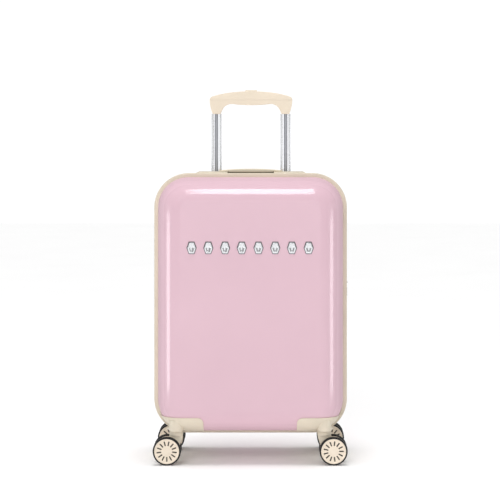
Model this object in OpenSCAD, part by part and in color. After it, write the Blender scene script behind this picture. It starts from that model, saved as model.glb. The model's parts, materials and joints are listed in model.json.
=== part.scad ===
// Hard shell cabin suitcase on four swivelling twin-wheel casters.
// Origin: on the floor, under the middle of the case. +Z is up, -Y is the front, +X is the lock side.

/* [Case] */
// Width over the trim rings
case_w = 350; // [340:1:370]
// Height of the trim rings above the floor
case_floor = 46; // [46:1:50]
// Height of the trim rings
case_h = 471; // [465:1:480]
// Corner radius of the trim rings
corner_r = 62; // [58:1:66]
// Depth of the lid shell in front of the parting plane
lid_depth = 91; // [90:0.5:94]
// Depth of the back shell behind the parting plane
back_depth = 107; // [106:0.5:110]
// Wall of both shells
wall = 3; // [2:0.5:3]
// How far the trim rings stand proud of the shells
trim_proud = 6; // [5:0.5:7]

/* [Casters] */
// Wheel radius
wheel_r = 25; // [24:0.5:25]
// Distance of a swivel axis from the middle, across
swivel_x = 132; // [130:1:133]
// Distance of a swivel axis from the middle, in depth
swivel_y = 72; // [70:1:72]
// Trail from swivel axis to wheel axle
trail = 16; // [14:0.5:16]
// Width of one wheel
wheel_t = 12; // [11:0.5:12.5]
// Radius of the swivel stem
stem_r = 4.5; // [4:0.25:5]
// Radius of the wheel axle
axle_r = 2.5; // [2:0.25:3]
// Radial running clearance of stems, axles and spindles
fit_gap = 0.06; // [0.03:0.01:0.08]

/* [Trolley handle] */
// Distance of a tube axis from the middle
tube_x = 64.5; // [62:0.5:66]
// Depth position of the tubes
tube_y = 76; // [75:0.5:77]
// Height of the grip's top at the shown stop
grip_top = 668.5; // [668.5:0.5:670]
// Travel of the grip down from the shown stop
grip_down = 120; // [110:1:120]

/* [Lock] */
// Height of the lock's middle
lock_z = 300; // [295:1:305]
// Height of the lock housing
lock_h = 42; // [40:1:44]

/* [Hidden] */
$fn = 96;
part_y = (lid_depth - back_depth) / 2;
mid_z = case_floor + case_h / 2;
shell_w = case_w - 2 * trim_proud;
shell_h = case_h - 2 * trim_proud;
shell_r = corner_r - trim_proud;
shell_top = mid_z + shell_h / 2;
straight_h = shell_h - 2 * shell_r;
rim_gap = 0.15;
lid_draft = 6;
back_draft = 3;
lid_fillet = 40;
back_fillet = 38;
trim_start = 5;
trim_end = 11.5;

// Corner guards
guard_t = 1.5;
guard_top = 85;
guard_inner_x = 83;
guard_corner = 10;
boss_r = 12.7;
boss_bottom = 60;
boss_top = 80;
collar_r = 16.5;
collar_bottom = 62;
collar_top = 66;
screw_ring = 14.4;
screw_r = 1.1;
screw_head_r = 1.6;
screw_grip = collar_top - collar_bottom - 0.5;

// Casters
crown_r = 12.4;
crown_bottom = 51;
crown_top = 59.5;
fork_t = 14;
wheel_in = 9.2;
tyre_t = 2.7;
hub_r = wheel_r - tyre_t;
slot_count = 13;

// Telescopic stages: width, depth and wall
inner_w = 19.5;
inner_d = 13;
mid_w = 22.5;
mid_d = 16;
outer_w = 25.5;
outer_d = 19;
tube_wall = 1.25;
grip_leg_bottom = grip_top - 42.5;
inner_top = grip_leg_bottom;
mid_top = 505;
mid_bottom = 96;
outer_top = 503;
outer_bottom = 90;
inner_bottom = outer_bottom + 4 + grip_down;

// Grip
grip_d = 23;
grip_split = grip_top - 16.5;
button_w = 22;
button_d = 12;
button_proud = 2;
rod_r = 2;
bar_h = 2;

// Top bezel and carry handle
bezel_w = 208;
bezel_top = shell_top + 8.1;
tray_floor = shell_top - 5.5;
tub_bottom = shell_top - 29;
tub_front_bottom = shell_top - 13;
tub_w = 193.6;
tub_y0 = 16.2;
tub_y1 = 85.8;
carry_y = 25;
carry_half = 58;
carry_foot_x = 50;
carry_foot_w = 12;
carry_foot_d = 9;
carry_lift = 14;
carry_top = shell_top + 13.6;
carry_recess_x = 42.5;

// Lock
lock_y = part_y + 23;
lock_w = 22;
lock_in = 158;
lock_face = case_w / 2 + 0.2;
dial_r = 5.4;
dial_t = 4.4;
dial_step = 5.6;
spindle_r = 1.5;
dial_x = case_w / 2 - 3.6;

// Zip sliders and pullers
slider_up_z = lock_z + 30;
slider_down_z = lock_z - 30;
slider_l = 12;

// Lining
lining_t = 1.2;
lining_gap = 5;
panel_y = 63.2;
lining_top = 480;

cream = [0.93, 0.88, 0.78];
pink = [0.93, 0.76, 0.80];
steel = [0.80, 0.81, 0.83];

// ---- Shared shapes ----

// Points of a rounded rectangle around the origin
function round_rect(w, h, r, n = 4) = [
    for (k = [0:3], i = [0:n])
        let (a = 90 * k + 90 * i / n, sx = (k == 0 || k == 3) ? 1 : -1, sy = k < 2 ? 1 : -1)
        [sx * (w / 2 - r) + r * cos(a), sy * (h / 2 - r) + r * sin(a)]
];

// Angles of a shell's edge fillet, from the side wall to the face
function fillet_angles(draft, n = 8) = [for (i = [0:n]) 180 - draft - i * (90 - draft) / n];

// Inset of the fillet's centre from the shell's rim
function fillet_inset(depth, draft, f) = (f + (depth - f) * sin(draft)) / cos(draft);

// Fillet points [distance from the corner centre, depth], at radius f + grow
function fillet_line(r, depth, draft, f, grow) = [
    for (a = fillet_angles(draft))
        [r - fillet_inset(depth, draft, f) - (f + grow) * cos(a), depth - f + (f + grow) * sin(a)]
];

function reversed(list) = [for (i = [len(list) - 1:-1:0]) list[i]];

// Section of a shell of wall t
function pan_section(r, depth, draft, f, t) = let (rim = r - rim_gap * tan(draft)) concat(
    [[rim, rim_gap]], fillet_line(r, depth, draft, f, 0), [[0, depth], [0, depth - t]],
    reversed(fillet_line(r, depth, draft, f, -t)), [[rim - t / cos(draft), rim_gap]]
);

// Section of a skin of thickness t laid on the outside of a shell, from depth v0 to the face
function skin_section(r, depth, draft, f, t, v0) = concat(
    [[r - v0 * tan(draft) + t / cos(draft), v0]], fillet_line(r, depth, draft, f, t),
    [[0, depth + t], [0, depth]], reversed(fillet_line(r, depth, draft, f, 0)),
    [[r - v0 * tan(draft), v0]]
);

// One corner and one side of a ring: the child is its section
module ring_quarter(k, w, h, r, l) {
    across = k % 2 == 0 ? w : h;
    along = k % 2 == 0 ? h : w;
    rotate(90 * k) translate([across / 2 - r, along / 2 - r, 0]) {
        rotate_extrude(angle = 90) children();
        rotate([90, 0, 0]) linear_extrude(l == 0 ? along - 2 * r : l) children();
    }
}

module ring(w, h, r) {
    for (k = [0:3]) ring_quarter(k, w, h, r, 0) children();
}

// A dished shell, rim at depth 0
module pan(w, h, r, depth, draft, f, t) {
    ring(w, h, r) polygon(pan_section(r, depth, draft, f, t));
    translate([-w / 2 + r, -h / 2 + r, depth - t]) cube([w - 2 * r, h - 2 * r, t]);
}

module lid_side() { translate([0, part_y, mid_z]) rotate([90, 0, 0]) children(); }
module back_side() { translate([0, part_y, mid_z]) mirror([0, 1, 0]) rotate([90, 0, 0]) children(); }
module both_x() {
    children();
    mirror([1, 0, 0]) children();
}

// An outline in Y and Z, extruded to length l about the middle
module along_x(l) { rotate([90, 0, 90]) translate([0, 0, -l / 2]) linear_extrude(l) children(); }

// An outline in X and Z, extruded to length l about y
module along_y(l, y) { translate([0, y + l / 2, 0]) rotate([90, 0, 0]) linear_extrude(l) children(); }

module box(x0, x1, y0, y1, z0, z1) { translate([x0, y0, z0]) cube([x1 - x0, y1 - y0, z1 - z0]); }

// ---- Shells, trims and zips ----

module caster_holes(y, r, top) {
    both_x() translate([swivel_x, y, 40]) cylinder(r = r, h = top - 40);
}

module back_shell() {
    color(pink) difference() {
        back_side() pan(shell_w, shell_h, shell_r, back_depth, back_draft, back_fillet, wall);
        caster_holes(swivel_y, collar_r + 0.2, 84);
        box(-tub_w / 2 - 0.2, tub_w / 2 + 0.2, tub_y0 - 0.2, tub_y1 + 0.2, tub_bottom, 530);
        lock_cut(0.2);
    }
}

module front_shell() {
    color(pink) difference() {
        lid_side() pan(shell_w, shell_h, shell_r, lid_depth, lid_draft, lid_fillet, wall);
        caster_holes(-swivel_y, collar_r + 0.2, 84);
    }
}

function trim_section(r, draft) = [
    [r - trim_start * tan(draft), trim_start], [r + trim_proud - 1.4, trim_start],
    [r + trim_proud, trim_start + 1.6], [r + trim_proud, trim_end - 1.9],
    [r + trim_proud - 1.6, trim_end], [r - trim_end * tan(draft), trim_end]
];

module back_trim() {
    color(cream) back_side() ring(shell_w, shell_h, shell_r) polygon(trim_section(shell_r, back_draft));
}

module front_trim() {
    color(cream) lid_side() ring(shell_w, shell_h, shell_r) polygon(trim_section(shell_r, lid_draft));
}

// Zip tape with its teeth on the top, right and bottom of one half
module zip_half() {
    difference() {
        ring(shell_w, shell_h, shell_r)
            translate([shell_r + 0.3, rim_gap]) square([2.4, trim_start - 2 * rim_gap]);
        translate([-shell_w / 2 - 10, -straight_h / 2, -1]) cube([40, straight_h, 10]);
    }
}

module back_zip() { color("wheat") back_side() zip_half(); }
module front_zip() { color("wheat") lid_side() zip_half(); }

// Sewn fabric band that joins the halves on the hinge side
module hinge_band() {
    x = -shell_w / 2 - 1.5;
    color("wheat")
        box(x - 1.5, x, part_y - 4.8, part_y + 4.8, mid_z - straight_h / 2 + 1, mid_z + straight_h / 2 - 1);
}

// ---- Lining, divider and straps ----

module back_lining() {
    r = shell_r - lining_gap;
    bottom = mid_z - shell_h / 2 + lining_gap;
    h = lining_top - bottom;
    color("lightpink") difference() {
        translate([0, part_y + 1, bottom + h / 2]) mirror([0, 1, 0]) rotate([90, 0, 0])
            pan(shell_w - 2 * lining_gap, h, r, panel_y - part_y - 1, back_draft, 14, lining_t);
        caster_holes(swivel_y, collar_r + 1.5, 84);
        lock_cut(1);
    }
}

module front_lining() {
    g = 2 * lining_gap;
    color("lightpink") difference() {
        lid_side() translate([0, 0, 8])
            pan(shell_w - g, shell_h - g, shell_r - lining_gap, lid_depth - 13, lid_draft, 36, lining_t);
        caster_holes(-swivel_y, collar_r + 1.5, 84);
    }
}

// Zipped mesh panel that closes the lid's packing space
module divider_panel() {
    color("mistyrose") lid_side() translate([0, 0, 5.5]) linear_extrude(1.5)
        polygon(round_rect(shell_w - 10, shell_h - 10, shell_r - 5, 6));
}

// Elastic packing straps across the back half, with their buckle
module cross_straps() {
    reach = [132, 178];
    strap_w = 25;
    z = (mid_z + lining_top) / 2 - 118;
    color("hotpink") {
        for (sx = [-1, 1], sz = [-1, 1])
            translate([0, 2.6, z]) rotate([0, -atan2(sz * reach[1], sx * reach[0]), 0])
                translate([20, -0.6, -strap_w / 2]) cube([norm(reach) - 20, 1.2, strap_w]);
        along_y(5, 2.6) translate([0, z]) polygon(round_rect(58, 48, 8));
    }
}

// ---- Badges on the lid ----

// Eight raised lozenges with a sunk middle
module badge_row() {
    count = 8;
    pitch = 29.6;
    face = part_y - lid_depth;
    color(steel) for (i = [0:count - 1])
        translate([(i - (count - 1) / 2) * pitch, face - 1.2, 386.5]) rotate([-90, 0, 0]) difference() {
            linear_extrude(1.2) polygon([[-9, 0], [-5, 11], [5, 11], [9, 0], [5, -11], [-5, -11]]);
            translate([0, 0, -0.1]) linear_extrude(0.7)
                polygon([[-5.6, 0], [-3.2, 7.2], [3.2, 7.2], [5.6, 0], [3.2, -7.2], [-3.2, -7.2]]);
        }
}

// ---- Corner guards with the swivel housings ----

module guard_window(depth) {
    top = guard_top - mid_z;
    corner = [for (i = [0:6])
        [guard_inner_x + guard_corner * (1 - cos(15 * i)), top - guard_corner * (1 - sin(15 * i))]];
    linear_extrude(depth + 10)
        polygon(concat([[guard_inner_x, -300]], corner, [[220, top], [220, -300]]));
}

module guard_skin(depth, draft, f) {
    intersection() {
        ring_quarter(3, shell_w, shell_h, shell_r, 40)
            polygon(skin_section(shell_r, depth, draft, f, guard_t, trim_end + 0.5));
        guard_window(depth);
    }
}

// Swivel housing at swivel position y: the child is the guard's skin
module guard_with_housing(y) {
    difference() {
        union() {
            difference() {
                union() {
                    children();
                    translate([swivel_x, y, collar_bottom])
                        cylinder(r = collar_r, h = collar_top - collar_bottom);
                }
                translate([swivel_x, y, 40]) cylinder(r = boss_r + 2, h = collar_bottom - 40);
            }
            translate([swivel_x, y, boss_bottom]) cylinder(r = boss_r, h = boss_top - boss_bottom);
        }
        translate([swivel_x, y, 40]) cylinder(r = stem_r + fit_gap, h = 60);
        at_screws(y) {
            cylinder(r = screw_r, h = 10);
            translate([0, 0, screw_grip]) cylinder(r = screw_head_r + 0.05, h = 8);
        }
    }
}

// Screw places round one swivel housing, just under the collar's top
module at_screws(y) {
    for (a = [45:90:315])
        translate([swivel_x + screw_ring * cos(a), y + screw_ring * sin(a), collar_bottom + 0.5]) children();
}

module front_corner_guards() {
    color(cream) both_x() guard_with_housing(-swivel_y)
        lid_side() guard_skin(lid_depth, lid_draft, lid_fillet);
}

module rear_corner_guards() {
    color(cream) both_x() guard_with_housing(swivel_y)
        back_side() guard_skin(back_depth, back_draft, back_fillet);
}

module guard_screws(y) {
    both_x() at_screws(y) {
        cylinder(r = screw_r, h = screw_grip);
        translate([0, 0, screw_grip]) cylinder(r = screw_head_r, h = 1.5);
    }
}

module front_screws() { color(steel) guard_screws(-swivel_y); }
module rear_screws() { color(steel) guard_screws(swivel_y); }

// ---- Casters: sx and sy pick the corner, the trail points outboard ----

module at_caster(sx, sy) { translate([sx * swivel_x, sy * swivel_y, 0]) scale_x(sx) children(); }
module scale_x(sx) { mirror([sx < 0 ? 1 : 0, 0, 0]) children(); }

// Places its child, drawn about Z, on the axle line
module on_axle() { translate([trail, 0, wheel_r]) rotate([90, 0, 0]) children(); }

module caster_fork(sx, sy) {
    leg = [[-crown_r, 55], [-11.8, 50], [-9.5, 42], [-5.5, 33], [2, 22], [10, 16.5], [20, 16.8],
        [25, 23], [24.5, 31], [19, 39], [13.5, 46], [crown_r, 51], [crown_r, 55]];
    color(cream) at_caster(sx, sy) difference() {
        union() {
            translate([0, 0, crown_bottom]) cylinder(r = crown_r, h = crown_top - crown_bottom);
            along_y(fork_t, 0) polygon(leg);
            translate([0, 0, crown_top - 1]) cylinder(r = stem_r, h = boss_top - crown_top + 1.5);
            translate([0, 0, boss_top + 0.3]) cylinder(r = stem_r + 2, h = 2);
        }
        on_axle() translate([0, 0, -20]) cylinder(r = axle_r, h = 40);
    }
}

module caster_axle(sx, sy) {
    l = 2 * (wheel_in + wheel_t) - 4;
    color(steel) at_caster(sx, sy) on_axle() translate([0, 0, -l / 2]) cylinder(r = axle_r, h = l);
}

// One wheel's hub: side is 1 on the outward face of the case, -1 inward
module wheel_hub(sx, sy, side) {
    face = wheel_in + wheel_t;
    color(cream) at_caster(sx, sy) on_axle() mirror([0, 0, side * sy > 0 ? 1 : 0]) difference() {
        rotate_extrude() polygon([
            [0, wheel_in + 0.6], [6, wheel_in], [hub_r, wheel_in], [hub_r, face - 0.4], [hub_r - 0.8, face],
            [hub_r - 2, face], [hub_r - 3, face - 1.2], [9, face - 1.8], [7, face - 1], [0, face - 0.6]]);
        translate([0, 0, wheel_in - 1]) cylinder(r = axle_r + fit_gap, h = wheel_t - 0.8);
        for (i = [0:slot_count - 1]) rotate(360 * i / slot_count)
            translate([9.4, -0.9, face - 4.4]) cube([8.6, 1.8, 5]);
    }
}

module wheel_tyre(sx, sy, side) {
    face = wheel_in + wheel_t;
    color([0.1, 0.1, 0.1]) at_caster(sx, sy) on_axle() mirror([0, 0, side * sy > 0 ? 1 : 0])
        rotate_extrude() polygon([
            [hub_r, wheel_in], [wheel_r - 1.4, wheel_in], [wheel_r - 0.4, wheel_in + 0.5],
            [wheel_r, wheel_in + 1.6], [wheel_r, face - 1.6], [wheel_r - 0.4, face - 0.5],
            [wheel_r - 1.4, face], [hub_r, face]]);
}

module fl_fork() { caster_fork(-1, -1); }
module fl_axle() { caster_axle(-1, -1); }
module fl_outer_hub() { wheel_hub(-1, -1, 1); }
module fl_outer_tyre() { wheel_tyre(-1, -1, 1); }
module fl_inner_hub() { wheel_hub(-1, -1, -1); }
module fl_inner_tyre() { wheel_tyre(-1, -1, -1); }
module fr_fork() { caster_fork(1, -1); }
module fr_axle() { caster_axle(1, -1); }
module fr_outer_hub() { wheel_hub(1, -1, 1); }
module fr_outer_tyre() { wheel_tyre(1, -1, 1); }
module fr_inner_hub() { wheel_hub(1, -1, -1); }
module fr_inner_tyre() { wheel_tyre(1, -1, -1); }
module rl_fork() { caster_fork(-1, 1); }
module rl_axle() { caster_axle(-1, 1); }
module rl_outer_hub() { wheel_hub(-1, 1, 1); }
module rl_outer_tyre() { wheel_tyre(-1, 1, 1); }
module rl_inner_hub() { wheel_hub(-1, 1, -1); }
module rl_inner_tyre() { wheel_tyre(-1, 1, -1); }
module rr_fork() { caster_fork(1, 1); }
module rr_axle() { caster_axle(1, 1); }
module rr_outer_hub() { wheel_hub(1, 1, 1); }
module rr_outer_tyre() { wheel_tyre(1, 1, 1); }
module rr_inner_hub() { wheel_hub(1, 1, -1); }
module rr_inner_tyre() { wheel_tyre(1, 1, -1); }

// ---- Trolley handle ----

// A pair of rounded rectangular prisms on the tube axes
module tube_pair(w, d, r, z0, z1) {
    both_x() translate([tube_x, tube_y, z0]) linear_extrude(z1 - z0) polygon(round_rect(w, d, r));
}

module tubes(w, d, z0, z1) {
    difference() {
        tube_pair(w, d, 4, z0, z1);
        tube_pair(w - 2 * tube_wall, d - 2 * tube_wall, 4 - tube_wall, z0 - 1, z1 + 1);
    }
}

module outer_tubes() { color(steel) tubes(outer_w, outer_d, outer_bottom, outer_top); }
module middle_tubes() { color(steel) tubes(mid_w, mid_d, mid_bottom, mid_top); }
module inner_tubes() { color(steel) tubes(inner_w, inner_d, inner_bottom, inner_top); }

// Bracket that holds the outer tubes to the back shell's wall
module trolley_base() {
    wall_y = part_y + back_depth - wall;
    color([0.25, 0.25, 0.27]) difference() {
        union() {
            box(-84, 84, 64.4, 94, 86, 118);
            box(-84, 84, 94, wall_y, 102, 118);
        }
        tube_pair(outer_w, outer_d, 4, outer_bottom, 120);
        box(-46, 46, 68, 90, 80, 114);
    }
}

// Outline of the grip, right half, from the top middle round to the underside's middle
function grip_half(t) = [
    [0, t], [20, t - 0.7], [40, t - 2.7], [54, t - 5], [65, t - 7.6], [71.5, t - 9.6], [75.2, t - 11.6],
    [77, t - 15], [77, t - 19.5], [76.2, t - 26], [71.6, t - 42.5], [57.2, t - 42.5], [54.6, t - 36.5],
    [50.5, t - 30], [44, t - 25.5], [38, t - 23.7], [20, t - 25.3], [0, t - 26]
];

function mirrored(list) = [for (p = reversed(list)) [-p[0], p[1]]];

module grip_blank() {
    half = grip_half(grip_top);
    mid = grip_top - 20;
    intersection() {
        along_y(grip_d, tube_y) polygon(concat(half, mirrored(half)));
        along_x(160) translate([tube_y, mid]) polygon(round_rect(grip_d, 46, 7));
    }
}

// Lower part of the grip: its legs plug into the inner tubes, and it carries the rods' channel
module grip_body() {
    channel = grip_split - 5.7;
    color(cream) difference() {
        union() {
            intersection() {
                grip_blank();
                box(-100, 100, 50, 100, 600, grip_split);
            }
            tube_pair(inner_w - 2 * tube_wall, inner_d - 2 * tube_wall, 4 - tube_wall, inner_top - 27,
                inner_top + 1);
        }
        box(-68, 68, tube_y - 4, tube_y + 4, channel, grip_split + 1);
        both_x() translate([tube_x, tube_y, 590]) cylinder(r = rod_r + 0.6, h = channel - 589);
    }
}

module grip_cover() {
    color(cream) difference() {
        intersection() {
            grip_blank();
            box(-100, 100, 50, 100, grip_split, grip_top + 5);
        }
        box(-button_w / 2 - 0.3, button_w / 2 + 0.3, tube_y - button_d / 2 - 0.3,
            tube_y + button_d / 2 + 0.3, grip_split - 1, grip_top + 5);
    }
}

module release_button() {
    post_h = 4;
    color([0.85, 0.80, 0.70]) translate([0, tube_y, grip_split]) {
        cylinder(r = 3, h = post_h);
        translate([0, 0, post_h]) linear_extrude(grip_top - grip_split + button_proud - post_h)
            polygon(round_rect(button_w, button_d, 2.5));
    }
}

// Crossbar under the button with a rod down each inner tube
module release_rods() {
    color(steel) {
        box(-66.5, 66.5, tube_y - 3, tube_y + 3, grip_split - bar_h, grip_split);
        both_x() translate([tube_x, tube_y, 400]) cylinder(r = rod_r, h = grip_split - bar_h - 400);
    }
}

// ---- Top bezel and carry handle ----

// Outline of the shell's top edge in Y and Z, closed inside the case
function shell_top_outline() = concat(
    [[part_y, shell_top]],
    [for (p = fillet_line(shell_r, back_depth, back_draft, back_fillet, 0))
        [part_y + p[1], shell_top - shell_r + p[0]]],
    [[part_y + back_depth, 400], [part_y, 400]]
);

module top_bezel() {
    t = bezel_top;
    plate = [[8, t - 14], [8, t - 2.5], [10.5, t], [71, t], [80, t - 2.3], [88, t - 8.5], [94, t - 17],
        [97, t - 26], [8, t - 26]];
    color(cream) difference() {
        union() {
            difference() {
                along_x(bezel_w) polygon(plate);
                along_x(bezel_w + 2) polygon(shell_top_outline());
            }
            box(-tub_w / 2, tub_w / 2, 37, tub_y1, tub_bottom, shell_top + 1);
            box(-tub_w / 2, tub_w / 2, tub_y0, 37, tub_front_bottom, shell_top + 1);
        }
        // Grip tray
        box(-78, 78, tube_y - 12, tube_y + 12, tray_floor, t + 5);
        // Tube holes
        tube_pair(outer_w, outer_d, 4, tub_bottom - 1, outer_top);
        tube_pair(mid_w + 0.6, mid_d + 0.6, 4.3, tub_bottom, t);
        // Carry handle's finger recess, its open front and the foot slots
        box(-carry_recess_x, carry_recess_x, carry_y - 11, carry_y + 11, t - 11, t + 5);
        box(-carry_recess_x, carry_recess_x, 0, carry_y, shell_top + 4.5, t + 5);
        both_x() translate([carry_foot_x, carry_y, 470]) linear_extrude(60)
            polygon(round_rect(carry_foot_w + 0.6, carry_foot_d + 0.6, 2));
        // Hollow underside
        box(-48, 48, 40, tube_y + 7, tub_bottom - 1, tray_floor - 3);
        both_x() box(80, tub_w / 2 - 3, 40, tube_y + 7, tub_bottom - 1, shell_top - 3);
    }
}

module carry_handle() {
    t = carry_top;
    half = [[0, t], [34, t - 0.4], [48, t - 1.6], [carry_half, t - 3.2], [carry_half, t - 5],
        [carry_recess_x - 0.5, t - 5], [carry_recess_x - 3, t - 6.6], [0, t - 6.6]];
    color(cream) {
        along_y(carry_foot_d + 2, carry_y) polygon(concat(half, mirrored(half)));
        both_x() {
            translate([carry_foot_x, carry_y, tub_front_bottom - carry_lift - 1])
                linear_extrude(t - 3 - tub_front_bottom + carry_lift + 1)
                    polygon(round_rect(carry_foot_w, carry_foot_d, 1.7));
            translate([carry_foot_x, carry_y, tub_front_bottom - carry_lift - 2.6])
                linear_extrude(2) polygon(round_rect(carry_foot_w + 4, carry_foot_d + 3, 2));
        }
    }
}

// ---- Lock ----

// Room for the lock in the shell and lining, with clearance g
module lock_cut(g) {
    box(lock_in - 3 - g, 200, lock_y - lock_w / 2 - g, lock_y + lock_w / 2 + g,
        lock_z - lock_h / 2 - g, lock_z + lock_h / 2 + g);
}

function dial_z(i) = lock_z - 6.5 + dial_step * i;

module lock_housing() {
    color([0.55, 0.54, 0.52]) {
        difference() {
            box(lock_in, lock_face, lock_y - lock_w / 2, lock_y + lock_w / 2,
                lock_z - lock_h / 2, lock_z + lock_h / 2);
            translate([dial_x, lock_y, dial_z(0) - 2.8]) cylinder(r = dial_r + 0.5, h = 3 * dial_step);
            translate([lock_in + 3, lock_y, lock_z - 15]) rotate([0, 90, 0])
                cylinder(r = 4 + fit_gap, h = 30);
            box(lock_face - 4.2, lock_face + 5, lock_y - 4.2, lock_y + 4.2, lock_z + 10, lock_z + 20);
        }
        translate([dial_x, lock_y, dial_z(0) - 3]) cylinder(r = spindle_r, h = 3 * dial_step + 0.4);
    }
}

module lock_dial(i) {
    color([0.3, 0.3, 0.3]) difference() {
        translate([dial_x, lock_y, dial_z(i) - dial_t / 2]) cylinder(r = dial_r, h = dial_t);
        translate([dial_x, lock_y, dial_z(i) - 5]) cylinder(r = spindle_r + fit_gap, h = 10);
        for (a = [0:36:324]) translate([dial_x, lock_y, dial_z(i)]) rotate(a + 18)
            translate([dial_r, 0, -5]) rotate(45) translate([-0.35, -0.35, 0]) cube([0.7, 0.7, 10]);
    }
}

module lock_dial_1() { lock_dial(0); }
module lock_dial_2() { lock_dial(1); }
module lock_dial_3() { lock_dial(2); }

// Thumb slide that releases the pullers: it travels down 3 mm
module lock_slide() {
    color([0.7, 0.7, 0.7]) {
        box(lock_face - 4, lock_face, lock_y - 4, lock_y + 4, lock_z + 13.4, lock_z + 19.8);
        along_y(6, lock_y) polygon([[lock_face, lock_z + 14.5], [lock_face + 2, lock_z + 15.6],
            [lock_face + 2, lock_z + 17.6], [lock_face, lock_z + 18.7]]);
    }
}

module lock_key_plug() {
    color([0.75, 0.72, 0.6]) difference() {
        translate([lock_in + 3, lock_y, lock_z - 15]) rotate([0, 90, 0])
            cylinder(r = 4, h = lock_face - lock_in - 3.3);
        box(lock_face - 6, lock_face + 1, lock_y - 2.6, lock_y + 2.6, lock_z - 15.5, lock_z - 14.5);
    }
}

// ---- Zip sliders on the straight lock side ----

module zip_slider(z) {
    x = shell_w / 2 + 2.9;
    color(steel) difference() {
        union() {
            translate([x, part_y - 4.4, z - slider_l / 2]) cube([1.6, 8.8, slider_l]);
            translate([x, part_y - 2.6, z - 2.2]) cube([3.6, 5.2, 4.4]);
        }
        translate([x + 2.3, part_y - 10, z]) rotate([-90, 0, 0]) cylinder(r = 0.9 + fit_gap, h = 20);
        translate([x + 1.3, part_y - 1.4, z - 7]) cube([6, 2.8, 12]);
    }
}

// Puller that hangs down from its slider's bridge
module zip_puller(z) {
    x = shell_w / 2 + 5.2;
    color(steel) {
        translate([x, part_y - 2.6, z]) rotate([-90, 0, 0]) cylinder(r = 0.9, h = 5.2);
        translate([x - 0.9, part_y - 1.2, z - 7]) cube([1.8, 2.4, 7]);
        translate([x - 0.9, part_y - 3, z - 23]) cube([1.8, 6, 16.5]);
    }
}

module upper_zip_slider() { zip_slider(slider_up_z); }
module lower_zip_slider() { zip_slider(slider_down_z); }
module upper_zip_puller() { zip_puller(slider_up_z); }
module lower_zip_puller() { zip_puller(slider_down_z); }

// ---- Assembly ----

back_shell();
front_shell();
back_trim();
front_trim();
hinge_band();
back_zip();
front_zip();
back_lining();
front_lining();
divider_panel();
cross_straps();
badge_row();
rear_corner_guards();
front_corner_guards();
rear_screws();
front_screws();
fl_fork();
fl_axle();
fl_outer_hub();
fl_outer_tyre();
fl_inner_hub();
fl_inner_tyre();
fr_fork();
fr_axle();
fr_outer_hub();
fr_outer_tyre();
fr_inner_hub();
fr_inner_tyre();
rl_fork();
rl_axle();
rl_outer_hub();
rl_outer_tyre();
rl_inner_hub();
rl_inner_tyre();
rr_fork();
rr_axle();
rr_outer_hub();
rr_outer_tyre();
rr_inner_hub();
rr_inner_tyre();
trolley_base();
outer_tubes();
middle_tubes();
inner_tubes();
top_bezel();
grip_body();
grip_cover();
release_button();
release_rods();
carry_handle();
lock_housing();
lock_dial_1();
lock_dial_2();
lock_dial_3();
lock_slide();
lock_key_plug();
upper_zip_slider();
lower_zip_slider();
upper_zip_puller();
lower_zip_puller();
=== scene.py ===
"""Looks of the cabin suitcase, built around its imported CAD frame. Metres, +Z up, -Y is the front."""

import json
import math
from math import cos, pi, radians, sin, tan

import bmesh
import bpy
from mathutils import Matrix, Vector


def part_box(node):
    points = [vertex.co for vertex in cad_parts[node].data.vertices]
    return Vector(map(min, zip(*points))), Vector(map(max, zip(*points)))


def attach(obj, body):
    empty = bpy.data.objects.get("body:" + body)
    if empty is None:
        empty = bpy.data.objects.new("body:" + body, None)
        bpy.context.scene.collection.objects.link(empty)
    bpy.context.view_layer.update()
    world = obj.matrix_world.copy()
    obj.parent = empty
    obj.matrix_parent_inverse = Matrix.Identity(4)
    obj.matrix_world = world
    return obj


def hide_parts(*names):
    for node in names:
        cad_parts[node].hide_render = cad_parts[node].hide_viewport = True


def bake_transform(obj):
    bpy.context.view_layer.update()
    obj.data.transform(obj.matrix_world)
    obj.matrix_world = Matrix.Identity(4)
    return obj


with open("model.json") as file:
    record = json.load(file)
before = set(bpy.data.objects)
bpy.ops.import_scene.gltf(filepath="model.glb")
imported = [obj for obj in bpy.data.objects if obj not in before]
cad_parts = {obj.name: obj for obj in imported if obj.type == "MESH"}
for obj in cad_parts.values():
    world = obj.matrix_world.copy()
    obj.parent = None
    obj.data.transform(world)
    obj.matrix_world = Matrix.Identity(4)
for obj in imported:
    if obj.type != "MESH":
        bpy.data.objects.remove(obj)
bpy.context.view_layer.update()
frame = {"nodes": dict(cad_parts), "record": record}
MM = 0.001

# ---------------------------------------------------------------- sizes and places
# Read from the frame, or the same numbers as in the CAD source.

LID_LOW, LID_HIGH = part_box("front_shell")
BACK_LOW, BACK_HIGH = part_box("back_shell")
PART_Y = (LID_HIGH.y + BACK_LOW.y) / 2
MID_Z = (LID_LOW.z + LID_HIGH.z) / 2
SHELL_W = LID_HIGH.x - LID_LOW.x
SHELL_H = LID_HIGH.z - LID_LOW.z
SHELL_TOP = LID_HIGH.z
SHELL_R = 56 * MM
CASE = (SHELL_W, SHELL_H, SHELL_R, MID_Z)
WALL = 3 * MM
RIM_GAP = 0.15 * MM
LID_DRAFT, BACK_DRAFT = radians(6), radians(3)
LID_FORM = (PART_Y - LID_LOW.y, LID_DRAFT, 40 * MM)  # depth, draft and fillet of the shell's face edge
BACK_FORM = (BACK_HIGH.y - PART_Y, BACK_DRAFT, 38 * MM)
LOCK_LOW, LOCK_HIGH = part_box("lock_housing")
SWIVEL_X, SWIVEL_Y = 132 * MM, 72 * MM
SWIVEL_HOLE_R = 16.7 * MM
TUB_DEPTH = 29 * MM
AXLE_LOW, AXLE_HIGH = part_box("fr_axle")
AXLE_X = (AXLE_LOW.x + AXLE_HIGH.x) / 2
WHEEL_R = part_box("fr_outer_tyre")[1].z / 2
TRAIL = AXLE_X - SWIVEL_X
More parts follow.
